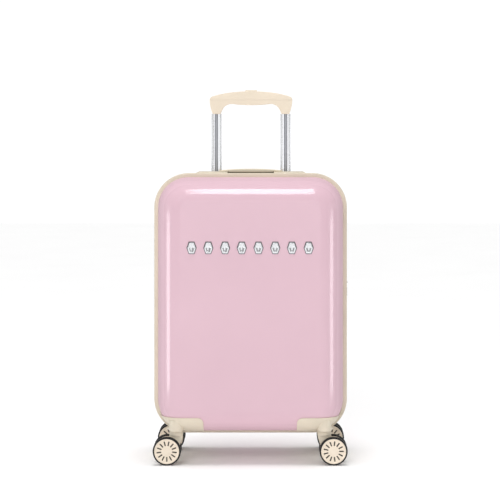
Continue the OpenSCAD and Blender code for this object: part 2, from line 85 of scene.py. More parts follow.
CORNERS = {"fl": (-1, -1), "fr": (1, -1), "rl": (-1, 1), "rr": (1, 1)}
TUBE_Y = sum(v.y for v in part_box("inner_tubes")) / 2
GRIP_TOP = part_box("grip_cover")[1].z
GRIP_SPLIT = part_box("grip_cover")[0].z
TUBE_X = 64.5 * MM
SMOOTH = 32  # degrees; sharper edges stay sharp
MERGE = 1e-6  # points nearer than this become one
FINE = 24  # steps round each corner of trims, guards and linings

# ---------------------------------------------------------------- mesh helpers


def add_object(name, data):
    obj = bpy.data.objects.new(name, data)
    bpy.context.scene.collection.objects.link(obj)
    return obj


def new_object(name, verts, faces, smooth_angle=SMOOTH):
    """A mesh object with clean outward normals, smooth below smooth_angle degrees."""
    mesh = bpy.data.meshes.new(name)
    mesh.from_pydata([tuple(v) for v in verts], [], faces)
    obj = add_object(name, mesh)
    tidy_mesh(obj, smooth_angle)
    return obj


def tidy_mesh(obj, smooth_angle=SMOOTH):
    """Merges doubles, turns the normals outward, and marks the sharp edges."""
    bm = bmesh.new()
    bm.from_mesh(obj.data)
    bmesh.ops.remove_doubles(bm, verts=bm.verts, dist=MERGE)
    bmesh.ops.dissolve_degenerate(bm, edges=bm.edges, dist=MERGE)
    bmesh.ops.recalc_face_normals(bm, faces=bm.faces)
    bm.to_mesh(obj.data)
    bm.free()
    obj.data.polygons.foreach_set("use_smooth", [True] * len(obj.data.polygons))
    obj.data.set_sharp_from_angle(angle=radians(smooth_angle))


def loft(name, rings, closed=True, loop=False, smooth_angle=SMOOTH):
    """Skins a list of equal rings. closed says that a ring runs back into its start, and loop that the
    list does; without loop the first and last ring are filled."""
    n, m = len(rings[0]), len(rings)
    faces = []
    for k in range(m if loop else m - 1):
        near, far = k * n, (k + 1) % m * n
        for i in range(n if closed else n - 1):
            j = (i + 1) % n
            faces.append((near + i, near + j, far + j, far + i))
    if not loop:
        faces += [tuple(range(n))[::-1], tuple(range((m - 1) * n, m * n))]
    return new_object(name, [p for ring in rings for p in ring], faces, smooth_angle)


def revolve(name, profile, steps=96):
    """Turns a profile of (radius, distance) about +Z; one that starts on the axis also ends there."""
    angles = [2 * pi * i / steps for i in range(steps)]
    rings = [[Vector((r * cos(a), r * sin(a), d)) for r, d in profile] for a in angles]
    return loft(name, rings, closed=profile[0][0] > 0, loop=True)


def prism(name, outline, low, high, axis="y", smooth_angle=SMOOTH):
    """An outline extruded along an axis. Its points are (x, z) for y, (x, y) for z and (y, z) for x."""
    order = {"x": (2, 0, 1), "y": (0, 2, 1), "z": (0, 1, 2)}[axis]
    rings = [[Vector([(u, v, d)[i] for i in order]) for u, v in outline] for d in (low, high)]
    return loft(name, rings, smooth_angle=smooth_angle)


def block(name, x0, x1, y0, y1, z0, z1, r=0.0):
    """A box, its upright edges rounded by r."""
    outline = rounded(x1 - x0, y1 - y0, max(r, 1e-5), 8 if r else 1)
    return prism(name, moved(outline, (x0 + x1) / 2, (y0 + y1) / 2), z0, z1, "z")


def cylinder(name, x, y, z0, z1, r):
    return prism(name, circle(x, y, r), z0, z1, "z")


def boxes(name, corners):
    """Many small separate boxes, from eight corners each."""
    sides = ((0, 1, 2, 3), (4, 7, 6, 5), (0, 4, 5, 1), (1, 5, 6, 2), (2, 6, 7, 3), (3, 7, 4, 0))
    return new_object(name, corners, [tuple(b + i for i in side) for b in range(0, len(corners), 8)
                                      for side in sides])


def moved(points, u, v):
    """The points of an outline, shifted by (u, v)."""
    return [(u + a, v + b) for a, b in points]


def mm(points, u=0.0, v=0.0):
    """A table of millimetres in metres, moved to (u, v)."""
    return [(u + a * MM, v + b * MM) for a, b in points]


def circle(u, v, r, n=64, r2=None):
    """Points of a circle about (u, v), or of an ellipse whose second radius is r2."""
    return [(u + r * cos(2 * pi * i / n), v + (r2 or r) * sin(2 * pi * i / n)) for i in range(n)]


def rounded(w, h, r, n=8):
    """Points of a rounded rectangle about the origin, anticlockwise."""
    points = []
    for k, (sx, sy) in enumerate(((1, 1), (-1, 1), (-1, -1), (1, -1))):
        for i in range(n + 1):
            a = pi / 2 * (k + i / n)
            points.append((sx * (w / 2 - r) + r * cos(a), sy * (h / 2 - r) + r * sin(a)))
    return points


def smooth_curve(points, steps=6, closed=False):
    """Catmull-Rom points through the given ones."""
    n = len(points)
    count = n if closed else n - 1
    out = []
    for i in range(count):
        p0 = points[(i - 1) % n] if closed or i > 0 else points[0]
        p1, p2 = points[i], points[(i + 1) % n]
        p3 = points[(i + 2) % n] if closed or i + 2 < n else points[-1]
        for s in range(steps):
            t = s / steps
            out.append(tuple(
                0.5 * (2 * b + (c - a) * t + (2 * a - 5 * b + 4 * c - d) * t * t
                       + (3 * b - a - 3 * c + d) * t * t * t)
                for a, b, c, d in zip(p0, p1, p2, p3)))
    if not closed:
        out.append(tuple(points[-1]))
    return out


def apply_modifiers(obj, smooth_angle=SMOOTH):
    depsgraph = bpy.context.evaluated_depsgraph_get()
    mesh = bpy.data.meshes.new_from_object(obj.evaluated_get(depsgraph))
    obj.modifiers.clear()
    obj.data = mesh
    tidy_mesh(obj, smooth_angle)


def boolean(obj, others, operation="DIFFERENCE", smooth_angle=SMOOTH):
    """Cuts, joins or intersects obj with each of the others, which are used up."""
    for other in others:
        mod = obj.modifiers.new("cut", "BOOLEAN")
        mod.operation, mod.solver, mod.object = operation, "EXACT", other
        bpy.context.view_layer.update()
        apply_modifiers(obj, smooth_angle)
        bpy.data.objects.remove(other)
    return obj


def bevel(obj, width, segments=3, angle=30, smooth_angle=50):
    mod = obj.modifiers.new("bevel", "BEVEL")
    mod.width, mod.segments, mod.limit_method = width, segments, "ANGLE"
    mod.angle_limit = radians(angle)
    mod.miter_outer = "MITER_ARC"
    apply_modifiers(obj, smooth_angle)
    return obj


def join(name, objects, smooth_angle=SMOOTH):
    """One object from several separate ones, which are used up."""
    bm = bmesh.new()
    for obj in objects:
        bm.from_mesh(obj.data)
        bpy.data.objects.remove(obj)
    mesh = bpy.data.meshes.new(name)
    bm.to_mesh(mesh)
    bm.free()
    whole = add_object(name, mesh)
    tidy_mesh(whole, smooth_angle)
    return whole


def copy_of(source, name, matrix):
    obj = add_object(name, source.data.copy())
    obj.data.transform(matrix)
    if matrix.determinant() < 0:
        obj.data.flip_normals()
    return obj


def mirrored_pair(name, right):
    """Joins a right-hand piece with its mirror image across X."""
    return join(name, [right, copy_of(right, "mirror", Matrix.Scale(-1, 4, (1, 0, 0)))])


def finish_piece(obj, body, slot, *nodes, look=None):
    """Parents a piece to its body and hides the CAD nodes it stands for. Unless it already has its materials,
    it gets the one named look, or else the slot's."""
    if not obj.data.materials:
        obj.data.materials.append(MATS[look or slot])
    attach(obj, body)
    if nodes:
        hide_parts(*nodes)


def two_tone(obj, first, second, inside):
    """Gives obj the first material, and the second where inside(face centre, face normal) holds."""
    for key in (first, second):
        obj.data.materials.append(MATS[key])
    for face in obj.data.polygons:
        face.material_index = int(inside(face.center, face.normal))


# ---------------------------------------------------------------- materials


class Nodes:
    """Short ways to make the nodes of one material."""

    def __init__(self, name):
        self.mat = bpy.data.materials.new(name)
        self.mat.use_nodes = True
        self.tree = self.mat.node_tree
        self.shader = self.tree.nodes["Principled BSDF"]
        self.coord = self.tree.nodes.new("ShaderNodeTexCoord").outputs["Object"]

    def add(self, kind, **inputs):
        node = self.tree.nodes.new(kind)
        for key, value in inputs.items():
            if key in node.inputs:
                self.put(node.inputs[key], value)
            else:
                setattr(node, key, value)
        return node

    def put(self, socket, value):
        if isinstance(value, bpy.types.NodeSocket):
            self.tree.links.new(value, socket)
        elif socket.type == "RGBA":
            socket.default_value = (*value, 1)
        else:
            socket.default_value = value

    def scaled(self, factors):
        """Object coordinates stretched by factors."""
        node = self.add("ShaderNodeMapping")
        self.put(node.inputs["Vector"], self.coord)
        node.inputs["Scale"].default_value = factors
        return node.outputs["Vector"]

    def noise(self, scale, detail=3, vector=None, roughness=0.5):
        node = self.add("ShaderNodeTexNoise", Scale=scale, Detail=detail, Roughness=roughness)
        self.put(node.inputs["Vector"], vector or self.coord)
        return node.outputs["Fac"]

    def ramp(self, value, low, high, at=(0.3, 0.7)):
        """Maps value from the span at to low..high."""
        node = self.add("ShaderNodeMapRange")
        self.put(node.inputs["Value"], value)
        for key, number in zip(("From Min", "From Max", "To Min", "To Max"), (*at, low, high)):
            node.inputs[key].default_value = number
        return node.outputs["Result"]

    def mix(self, factor, a, b):
        node = self.add("ShaderNodeMix")
        node.data_type = "RGBA"
        for index, value in ((0, factor), (6, a), (7, b)):
            self.put(node.inputs[index], value)
        return node.outputs[2]

    def math(self, operation, a, b=0.5):
        node = self.add("ShaderNodeMath")
        node.operation = operation
        self.put(node.inputs[0], a)
        self.put(node.inputs[1], b)
        return node.outputs[0]

    def bump(self, height, distance, strength):
        node = self.add("ShaderNodeBump")
        node.inputs["Strength"].default_value = strength
        node.inputs["Distance"].default_value = distance
        self.put(node.inputs["Height"], height)
        return node.outputs["Normal"]

    def finish(self, color, rough, normal=None, **values):
        self.put(self.shader.inputs["Base Color"], color)
        self.put(self.shader.inputs["Roughness"], rough)
        if normal is not None:
            self.put(self.shader.inputs["Normal"], normal)
        for key, value in values.items():
            self.put(self.shader.inputs[key.replace("_", " ")], value)
        return self.mat


def shaded(color, share):
    return tuple(c * share for c in color)


def gloss_shell(name, color):
    """Lacquered polycarbonate: faint flow clouding, orange peel, hairline wear, and satin at a glance."""
    n = Nodes(name)
    tint = n.mix(n.ramp(n.noise(7, 4), 0, 1), shaded(color, 0.965), color)
    hair = n.noise(900, 2, n.scaled((1, 1, 0.04)))
    rough = n.math("ADD", n.ramp(n.noise(25, 3), 0.10, 0.15), n.ramp(hair, 0.0, 0.03, (0.6, 0.8)))
    facing = n.add("ShaderNodeLayerWeight", Blend=0.5).outputs["Facing"]
    rough = n.math("ADD", rough, n.ramp(facing, 0, 0.55, (0.30, 0.60)))
    peel = n.bump(n.noise(320, 1), 0.00003, 0.25)
    return n.finish(tint, rough, peel, IOR=1.47)


def grained_plastic(name, color, rough):
    """Moulded plastic with a spark-eroded grain and slightly dirtier low spots."""
    n = Nodes(name)
    tint = n.mix(n.ramp(n.noise(18, 4), 0, 1), shaded(color, 0.93), color)
    speck = n.noise(2200, 2)
    tint = n.mix(n.ramp(speck, 0, 0.10, (0.55, 0.75)), tint, shaded(color, 0.8))
    rough = n.ramp(n.noise(60, 3), rough - 0.06, rough + 0.07)
    return n.finish(tint, rough, n.bump(speck, 0.00006, 0.5), IOR=1.48)


def rubber(name, color):
    n = Nodes(name)
    dust = n.ramp(n.noise(120, 5, roughness=0.7), 0, 0.12, (0.5, 0.8))
    tint = n.mix(dust, color, (0.09, 0.085, 0.08))
    surface = n.bump(n.noise(1500, 3), 0.00006, 0.6)
    return n.finish(tint, n.ramp(n.noise(90, 3), 0.50, 0.68), surface, IOR=1.40)


def brushed_metal(name, color, rough, along="z"):
    """Drawn metal: long streaks in its roughness and a faint relief along one axis."""
    n = Nodes(name)
    stretch = {"x": (0.02, 1, 1), "y": (1, 0.02, 1), "z": (1, 1, 0.02)}[along]
    streak = n.noise(2600, 3, n.scaled(stretch))
    cloud = n.noise(30, 3)
    tint = n.mix(n.ramp(streak, 0, 1), shaded(color, 0.9), color)
    gloss = n.math("ADD", n.ramp(streak, rough, rough + 0.08), n.ramp(cloud, 0, 0.04))
    return n.finish(tint, gloss, n.bump(streak, 0.00001, 0.3), Metallic=1.0)


def woven(name, color, pitch, contrast=0.75):
    """Plain weave: threads over and under each other, with uneven dye."""
    n = Nodes(name)
    split = n.add("ShaderNodeSeparateXYZ")
    n.put(split.inputs[0], n.coord)
    x, y, z = split.outputs
    k = 2 * pi / pitch
    warp = n.math("SINE", n.math("MULTIPLY", n.math("ADD", x, y), k))
    weft = n.math("SINE", n.math("MULTIPLY", n.math("ADD", z, n.math("SUBTRACT", x, y)), k))
    height = n.ramp(n.math("MULTIPLY", warp, weft), 0, 1, (-1, 1))
    dye = n.mix(n.ramp(n.noise(60, 4), 0, 1), shaded(color, 0.93), color)
    tint = n.mix(height, shaded(color, contrast), dye)
    return n.finish(tint, n.ramp(height, 0.77, 0.90), n.bump(height, 0.00012, 0.6),
                    Sheen_Weight=0.3, Sheen_Roughness=0.5)


PINK = (0.74, 0.505, 0.58)
CREAM = (0.77, 0.69, 0.55)

LOOKS = {
    "shell_pink": (gloss_shell, PINK),
    "trim_cream": (grained_plastic, CREAM, 0.38),
    "grip_cream": (grained_plastic, (0.90, 0.79, 0.635), 0.45),
    "button_cream": (grained_plastic, (0.84, 0.74, 0.59), 0.40),
    "carry_cream": (grained_plastic, (0.84, 0.76, 0.61), 0.42),
    "buckle_cream": (grained_plastic, (0.74, 0.66, 0.50), 0.42),
    "caster_cream": (grained_plastic, CREAM, 0.40),
    "hub_cream": (grained_plastic, (0.92, 0.81, 0.665), 0.36),
    "recess_shade": (grained_plastic, (0.30, 0.25, 0.17), 0.5),
    "slot_shadow": (rubber, (0.10, 0.085, 0.065)),
    "tyre_black": (rubber, (0.012, 0.012, 0.013)),
    "steel": (brushed_metal, (0.62, 0.62, 0.63), 0.28, "y"),
    "tube_metal": (brushed_metal, (0.86, 0.87, 0.89), 0.10),
    # Darker metal in the tubes' flutes: a painted dark reflection.
    "tube_groove": (brushed_metal, (0.42, 0.43, 0.46), 0.30),
    "zip_tape": (woven, (0.66, 0.57, 0.42), 0.0007),
    "zip_metal": (brushed_metal, (0.34, 0.33, 0.30), 0.30),
    "lining_cloth": (woven, (0.72, 0.45, 0.52), 0.0009),
    "mesh_cloth": (woven, (0.78, 0.56, 0.62), 0.0022, 0.35),
    "strap_web": (woven, (0.72, 0.63, 0.48), 0.0012),
    "badge_chrome": (brushed_metal, (0.72, 0.73, 0.75), 0.12, "x"),
    # Dark metal for the badges' backings: a painted shadow line round each lozenge.
    "badge_dark": (brushed_metal, (0.16, 0.16, 0.17), 0.30, "x"),
    "bracket_plastic": (grained_plastic, (0.05, 0.05, 0.055), 0.5),
    "lock_case": (brushed_metal, (0.40, 0.38, 0.34), 0.30),
    "lock_dial": (grained_plastic, (0.05, 0.05, 0.052), 0.4),
    "key_brass": (brushed_metal, (0.66, 0.54, 0.30), 0.25, "x"),
}
MATS = {name: make(name, *values) for name, (make, *values) in LOOKS.items()}

# ---------------------------------------------------------------- shells


def shell_line(form, grow=0.0, start=RIM_GAP):
    """Section of a shell's outside as (inset, depth) from the rim to the face; grow moves it outward."""
    depth, draft, fillet = form
    flank, arc = 4, 14
    r = fillet + grow
    edge = (fillet + (depth - fillet) * sin(draft)) / cos(draft)
    arc_start = depth - fillet + r * sin(draft)
    points = []
    for i in range(flank):
        v = start + (arc_start - start) * i / flank
        points.append((v * tan(draft) - grow / cos(draft), v))
    for i in range(arc + 1):
        a = pi - draft - (pi / 2 - draft) * i / arc
        points.append((edge + r * cos(a), depth - fillet + r * sin(a)))
    return points


def shell_ring(inset, depth, side, size=CASE, n=18):
    """The rounded rectangle at one inset and depth; side is -1 on the lid, 1 on the back."""
    w, h, r, mid_z = size
    return [Vector((x, PART_Y + side * depth, mid_z + z))
            for x, z in rounded(w - 2 * inset, h - 2 * inset, r - inset, n)]


def pan(name, side, form, grows, size=CASE, start=RIM_GAP, n=18):
    """A dished shell between its inner and outer surface, each moved outward by one of grows."""
    inner, outer = [shell_line(form, grow, start) for grow in grows]
    for line, grow in ((inner, grows[0]), (outer, grows[1])):
        line.append((line[-1][0] + 1.5 * MM, form[0] + grow))
    return loft(name, [shell_ring(u, v, side, size, n) for u, v in inner[::-1] + outer])


def caster_cuts(side, r):
    return [cylinder("cut", sx * SWIVEL_X, side * SWIVEL_Y, 40 * MM, 84 * MM, r) for sx in (-1, 1)]


def lock_cut(g):
    return block("cut", LOCK_LOW.x - 3 * MM, 0.2, LOCK_LOW.y - g, LOCK_HIGH.y + g,
                 LOCK_LOW.z - g, LOCK_HIGH.z + g)


def build_shells():
    lid = pan("lid_shell", -1, LID_FORM, (-WALL, 0))
    boolean(lid, caster_cuts(-1, SWIVEL_HOLE_R))
    finish_piece(lid, "lid", "shell_pink", "front_shell")
    back = pan("rear_shell", 1, BACK_FORM, (-WALL, 0))
    tub = block("cut", -97 * MM, 97 * MM, 16 * MM, 86 * MM, SHELL_TOP - TUB_DEPTH, 0.53)
    boolean(back, caster_cuts(1, SWIVEL_HOLE_R) + [tub, lock_cut(0.2 * MM)])
    finish_piece(back, "root", "shell_pink", "back_shell")


# ---------------------------------------------------------------- trims, zip and hinge band

TRIM_SECTION = [(0.0, 5.0), (4.4, 5.0), (5.4, 5.3), (6.0, 6.2), (6.05, 8.2), (5.9, 9.8), (5.2, 11.0),
                (4.0, 11.5), (0.0, 11.5)]


def build_trims():
    for name, side, body, draft, node in (("lid_trim", -1, "lid", LID_DRAFT, "front_trim"),
                                          ("rear_trim", 1, "root", BACK_DRAFT, "back_trim")):
        section = [((u if u else -v * tan(draft)) * MM, v * MM) for u, v in TRIM_SECTION]
        loops = [shell_ring(-u, v, side, n=FINE) for u, v in section]
        finish_piece(loft(name, list(zip(*loops)), loop=True), body, "trim_cream", node)


def zip_path(outset, spacing):
    """Evenly spaced (point, outward, along) round the bottom, right and top of the parting line."""
    ring = [Vector((p.x, 0, p.z)) for p in shell_ring(-outset, 0, 1, n=FINE)]
    foot = Vector((-SHELL_W / 2 - outset, 0, MID_Z - (SHELL_H / 2 - SHELL_R)))
    start = min(range(len(ring)), key=lambda i: (ring[i] - foot).length)
    points = ring[start:] + ring[:start]
    path, passed, target = [], 0.0, 0.0
    for a, b in zip(points, points[1:]):
        along, length = (b - a).normalized(), (b - a).length
        while length > 1e-9 and target <= passed + length:
            p = a.lerp(b, (target - passed) / length)
            path.append((p, Vector((along.z, 0, -along.x)), along))
            target += spacing
        passed += length
    return path


# A tooth's corners in millimetres: outward, along the zip, and away from the parting line.
TOOTH = ((0, -0.45, 0.2), (0, 0.45, 0.2), (1.1, 0.45, 0.2), (1.1, -0.45, 0.2),
         (0, -0.35, 2.6), (0, 0.35, 2.6), (0.9, 0.35, 2.6), (0.9, -0.35, 2.6))
TOOTH_PITCH = 2.4 * MM
TAPE_THICK, TAPE_WIDE = 1.1 * MM, 4.7 * MM


def build_zip():
    """Tape strips, and coil teeth that mesh across the parting line."""
    section = [(0, RIM_GAP), (TAPE_THICK, RIM_GAP), (TAPE_THICK, TAPE_WIDE), (0, TAPE_WIDE)]
    for name, side, body, node in (("lid_zip", -1, "lid", "front_zip"), ("rear_zip", 1, "root", "back_zip")):
        tape = loft(name + "_tape", [[p + out * u + Vector((0, PART_Y + side * v, 0)) for u, v in section]
                                     for p, out, _ in zip_path(0.3 * MM, 5 * MM)])
        finish_piece(tape, body, "zip_tape", node)
        shift = TOOTH_PITCH / 2 if side > 0 else 0
        corners = [p + along * (shift + w * MM) + out * u * MM + Vector((0, PART_Y + side * v * MM, 0))
                   for p, out, along in zip_path(1.4 * MM, TOOTH_PITCH) for u, w, v in TOOTH]
        finish_piece(boxes(name + "_teeth", corners), body, "zip_metal")


def build_hinge_band():
    """A woven band bulging a little between the halves on the hinge side."""
    low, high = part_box("hinge_band")
    edge, thick, bulge = 4.9 * MM, 0.5 * MM, 1.1 * MM
    rows, columns = 60, 16
    line = []
    for i in range(columns + 1):
        t = 2 * i / columns - 1
        line.append((high.x - 0.3 * MM - bulge * (1 - t * t), PART_Y + edge * t))
    section = moved(line, -thick / 2, 0) + moved(line[::-1], thick / 2, 0)
    heights = [low.z + (high.z - low.z) * j / rows for j in range(rows + 1)]
    band = loft("hinge_fabric", [[Vector((x, y, z)) for x, y in section] for z in heights], smooth_angle=60)
    band.data.materials.append(MATS["zip_tape"])
    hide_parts("hinge_band")
    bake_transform(band)


# ---------------------------------------------------------------- corner guards

GUARD_TOP = 85 * MM
GUARD_IN_X = 83 * MM
BOSS_R, BOSS_LOW, BOSS_HIGH = 12.7 * MM, 60 * MM, 80 * MM
APRON = 8 * MM
GUARD_SKIN = 1.5 * MM
COLLAR_LOW = 62 * MM


def guard(side, form):
    """A skin over the lower corner, with the round swivel housing under it."""
    skin = pan("skin", side, form, (0, GUARD_SKIN), start=12 * MM, n=FINE)
    r = 10 * MM
    window = [(GUARD_IN_X + r * (1 - cos(pi / 2 * i / 8)), GUARD_TOP - r * (1 - sin(pi / 2 * i / 8)))
              for i in range(9)]
    window += [(0.22, GUARD_TOP), (0.22, 0.0), (GUARD_IN_X, 0.0)]
    boolean(skin, [prism("cut", window, PART_Y - 0.15, PART_Y + 0.15)], "INTERSECT")
    y = side * SWIVEL_Y
    boolean(skin, [cylinder("collar", SWIVEL_X, y, COLLAR_LOW, COLLAR_LOW + 4 * MM, 16.5 * MM)], "UNION")
    boolean(skin, [cylinder("cut", SWIVEL_X, y, 40 * MM, COLLAR_LOW, 14.7 * MM)])
    boss = stadium("boss", SWIVEL_X, y, y + side * APRON, BOSS_LOW, BOSS_HIGH, BOSS_R)
    inside = [shell_ring(u, v, side, n=FINE) for u, v in shell_line(form, start=0)]
    boolean(boss, [loft("inside", inside)])
    boolean(boss, [cylinder("boss", SWIVEL_X, y, BOSS_LOW, BOSS_HIGH, BOSS_R)], "UNION")
    boolean(skin, [boss], "UNION")
    boolean(skin, [cylinder("cut", SWIVEL_X, y, 40 * MM, 90 * MM, 4.6 * MM)])
    return bevel(skin, 0.6 * MM, 2, 35, 40)


def stadium(name, x, y0, y1, z0, z1, r, n=24):
    """An upright prism: the round outline at y0, carried on to y1."""
    turn = pi if y1 < y0 else 0
    points = []
    for y, start in ((y0, turn + pi), (y1, turn)):
        points += [(x + r * cos(start + pi * i / n), y + r * sin(start + pi * i / n)) for i in range(n + 1)]
    return prism(name, points, z0, z1, "z")


def build_guards():
    front = mirrored_pair("front_guards", guard(-1, LID_FORM))
    finish_piece(front, "lid", "trim_cream", "front_corner_guards")
    rear = mirrored_pair("rear_guards", guard(1, BACK_FORM))
    finish_piece(rear, "root", "trim_cream", "rear_corner_guards")


# ---------------------------------------------------------------- casters

WHEEL_IN, WHEEL_FACE = 9.2 * MM, 21.2 * MM
HUB_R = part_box("fr_outer_hub")[1].x - AXLE_X
SLOTS = 13


def make_hub():
    """One wheel's hub about +Z: rim lip, dished face with radial slots, raised cap."""
    f = WHEEL_FACE
    profile = (mm([(0, 0.6), (6, 0.3), (9, 0)], 0, WHEEL_IN) + mm([(-0.4, 0), (0, 0.4)], HUB_R, WHEEL_IN)
               + mm([(0, -1.0), (-0.3, -0.35), (-0.9, 0), (-1.7, -0.1), (-2.3, -0.6), (-2.9, -1.3)], HUB_R, f)
               + mm([(15, -1.9), (10, -1.9), (7.6, -1.5), (6.4, -0.8), (4, -0.55), (0, -0.5)], 0, f))
    hub = revolve("hub", profile)
    cutters = []
    for i in range(SLOTS):
        slot = moved(rounded(8.6 * MM, 2.3 * MM, 1.1 * MM, 5), 13.9 * MM, 0)
        cutter = prism("slot", slot, f - 4.6 * MM, f + 2 * MM, "z")
        cutter.data.transform(Matrix.Rotation(2 * pi * (i + 0.4) / SLOTS, 4, "Z"))
        cutters.append(cutter)
    boolean(hub, [join("slots", cutters)])
    two_tone(hub, "hub_cream", "slot_shadow",
             lambda c, _: 9 * MM < math.hypot(c.x, c.y) < 18.6 * MM and f - 5 * MM < c.z < f - 2.2 * MM)
    return hub


def make_tyre():
    shoulder = mm([(-1.7, 0), (-0.8, 0.35), (-0.2, 1.2), (0, 2.4)], WHEEL_R, WHEEL_IN)
    half = [(HUB_R, WHEEL_IN + 0.2 * MM)] + shoulder
    return revolve("tyre", half + [(r, WHEEL_IN + WHEEL_FACE - d) for r, d in reversed(half)], 128)


def make_fork():
    """The fork about its swivel axis, its trail along +X: crown, curved leg and axle boss in one casting."""
    leg = [(-12.0, 54), (-11.6, 50), (-9.8, 42.5), (-6.0, 33), (0.5, 24), (8.5, 17.8), (16, 16.2), (22, 18.4),
           (25, 24), (24.4, 31), (19.5, 38.5), (14.5, 45), (12.3, 50.5), (12.0, 54)]
    fork = prism("fork", mm(smooth_curve(leg, 5)), -7 * MM, 7 * MM)
    bevel(fork, 1.6 * MM, 4, 50)
    crown = revolve("crown", mm([(0, 51), (11.0, 51), (12.1, 51.5), (12.4, 52.4), (12.4, 58.8), (12.0, 59.3),
                                 (11.2, 59.5), (4.5, 59.5), (4.5, 80.8), (0, 80.8)]), 64)
    boolean(fork, [crown], "UNION", 40)
    axle_hole = prism("hole", circle(TRAIL, WHEEL_R, 2.5 * MM, 32), -20 * MM, 20 * MM)
    return boolean(fork, [axle_hole], smooth_angle=40)


def build_casters():
    hub, tyre, fork = make_hub(), make_tyre(), make_fork()
    for corner, (sx, sy) in CORNERS.items():
        place = Matrix.Translation((sx * SWIVEL_X, sy * SWIVEL_Y, 0)) @ Matrix.Scale(sx, 4, (1, 0, 0))
        piece = copy_of(fork, corner + "_caster_fork", place)
        finish_piece(piece, corner + "_swivel", "caster_cream", corner + "_fork")
        for side_name, side in (("outer", 1), ("inner", -1)):
            turn = (Matrix.Rotation(radians(-90 * side * sy), 4, "X")
                    @ Matrix.Rotation(0.3 * sx * side, 4, "Z"))
            spot = Matrix.Translation((sx * AXLE_X, sy * SWIVEL_Y, WHEEL_R)) @ turn
            for source, kind, slot in ((hub, "hub", "hub_cream"), (tyre, "tyre", "tyre_black")):
                name = "%s_%s_%s" % (corner, side_name, kind)
                piece = copy_of(source, name + "_shape", spot)
                finish_piece(piece, "%s_%s_wheel" % (corner, side_name), slot, name)
    for source in (hub, tyre, fork):
        bpy.data.objects.remove(source)


# ---------------------------------------------------------------- trolley handle

FLUTE_HALF = 3.4 * MM


def tube_outline(w, d, r, flute):
    """A tube's section, if asked with a shallow flute down its front and back."""
    n = 6
    points = rounded(w, d, r, n)
    if flute:
        groove = mm([(3.4, 0), (2.9, -0.675), (2.4, -0.9), (-2.4, -0.9), (-2.9, -0.675), (-3.4, 0)], 0, d / 2)
        for start, sign in ((3 * (n + 1), -1), (n + 1, 1)):
            points[start:start] = [(sign * x, sign * y) for x, y in groove]
    return points


def tube_pair(name, node, w, d, flute):
    low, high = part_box(node)
    wall, r = 1.25 * MM, 4 * MM
    objects = []
    for sx in (-1, 1):
        outline = moved(tube_outline(w, d, r, flute), sx * TUBE_X, TUBE_Y)
        inner = moved(tube_outline(w - 2 * wall, d - 2 * wall, r - wall, False), sx * TUBE_X, TUBE_Y)
        tube = prism("tube", outline, low.z, high.z, "z", 25)
        boolean(tube, [prism("bore", inner, low.z - MM, high.z + MM, "z")], smooth_angle=25)
        objects.append(tube)
    tubes = join(name, objects, 25)
    if flute:
        # The flute's faces take the darker metal, a painted dark reflection down each tube.
        two_tone(tubes, "tube_metal", "tube_groove",
                 lambda c, normal: (abs(abs(c.x) - TUBE_X) < FLUTE_HALF and abs(normal.z) < 0.5
                                    and abs(c.y - TUBE_Y) > d / 2 - MM))
    return tubes


def build_grip():
    """One arched grip with its legs: half its outline, mirrored and drawn out in depth."""
    top = smooth_curve(mm([(0, 0), (20, -0.7), (40, -2.7), (54, -5.0), (65, -7.6), (71.5, -9.6),
                           (75.2, -11.6), (77, -15), (77, -19.5), (76.2, -26), (74.4, -34), (71.6, -42.5)],
                          0, GRIP_TOP), 5)
    under = smooth_curve(mm([(0, -26), (20, -25.3), (37, -23.7), (44, -25.2), (50.3, -29.5), (54.4, -36),
                             (57.0, -42.5)], 0, GRIP_TOP), 5)
    half = top + under[::-1]
    depth = 11.5 * MM
    grip = prism("grip", half + [(-x, z) for x, z in reversed(half)][1:-1], TUBE_Y - depth, TUBE_Y + depth)
    return bevel(grip, 6.5 * MM, 6, 40, 40)


def build_handle():
    """The grip, split at its seam, with its button and the two tube stages that move."""
    grip = build_grip()
    channel = block("cut", -68 * MM, 68 * MM, TUBE_Y - 4 * MM, TUBE_Y + 4 * MM, GRIP_SPLIT - 5.7 * MM,
                    GRIP_SPLIT + 3.6 * MM)
    low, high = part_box("release_button")
    gap = 0.3 * MM
    pocket = block("cut", low.x - gap, high.x + gap, low.y - gap, high.y + gap, GRIP_SPLIT - 4 * MM,
                   GRIP_TOP + 5 * MM, 2.8 * MM)
    boolean(grip, [channel, pocket])
    upper = copy_of(grip, "grip_upper", Matrix.Identity(4))
    seam = 0.1 * MM
    boolean(upper, [block("cut", -0.1, 0.1, 0, 0.2, GRIP_SPLIT - 0.1, GRIP_SPLIT + seam)])
    boolean(grip, [block("cut", -0.1, 0.1, 0, 0.2, GRIP_SPLIT - seam, GRIP_SPLIT + 0.1)])
    grip.name = "grip_lower"
    finish_piece(grip, "trolley_grip", "grip_cream", "grip_body")
    finish_piece(upper, "trolley_grip", "grip_cream", "grip_cover")
    button = prism("button", moved(rounded(22 * MM, 12 * MM, 2.5 * MM, 6), 0, TUBE_Y),
                   GRIP_SPLIT + 4 * MM, high.z, "z")
    bevel(button, 1.2 * MM, 4, 40)
    post = prism("post", circle(0, TUBE_Y, 3 * MM, 24), GRIP_SPLIT, GRIP_SPLIT + 5 * MM, "z")
    boolean(button, [post], "UNION")
    finish_piece(button, "grip_button", "button_cream", "release_button")
    inner = tube_pair("inner_stage", "inner_tubes", 19.5 * MM, 13 * MM, True)
    finish_piece(inner, "trolley_grip", "tube_metal", "inner_tubes")
    middle = tube_pair("middle_stage", "middle_tubes", 22.5 * MM, 16 * MM, False)
    finish_piece(middle, "trolley_middle", "tube_metal", "middle_tubes")


# ---------------------------------------------------------------- top bezel and carry handle

BEZEL_LOW, BEZEL_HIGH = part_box("top_bezel")
CARRY_LOW, CARRY_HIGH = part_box("carry_handle")
CARRY_Y = (CARRY_LOW.y + CARRY_HIGH.y) / 2
FOOT_X = 50 * MM
RECESS_X = 42.5 * MM


